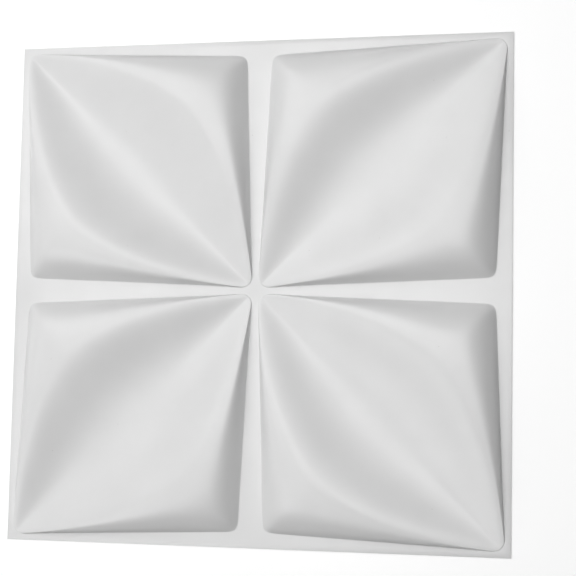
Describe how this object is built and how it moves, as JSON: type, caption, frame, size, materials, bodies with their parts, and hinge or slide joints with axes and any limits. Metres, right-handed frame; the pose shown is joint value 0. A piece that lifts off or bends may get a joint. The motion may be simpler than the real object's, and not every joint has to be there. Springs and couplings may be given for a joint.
{
  "type": "3d wall panel tile",
  "caption": "Square formed plastic wall panel: raised leaf-shaped cells with a groove along each diagonal, in a thin flat flange that is glued to a wall.",
  "frame": {"origin": "middle of the panel, on the plane of the flange's back", "axes": "+Z out of the panel's face, +X and +Y along its edges"},
  "size_m": [0.5, 0.5, 0.026],
  "materials": {
    "formed_sheet": "satin white"
  },
  "bodies": {
    "root": {"wall_panel": "formed_sheet"}
  },
  "joints": []
}
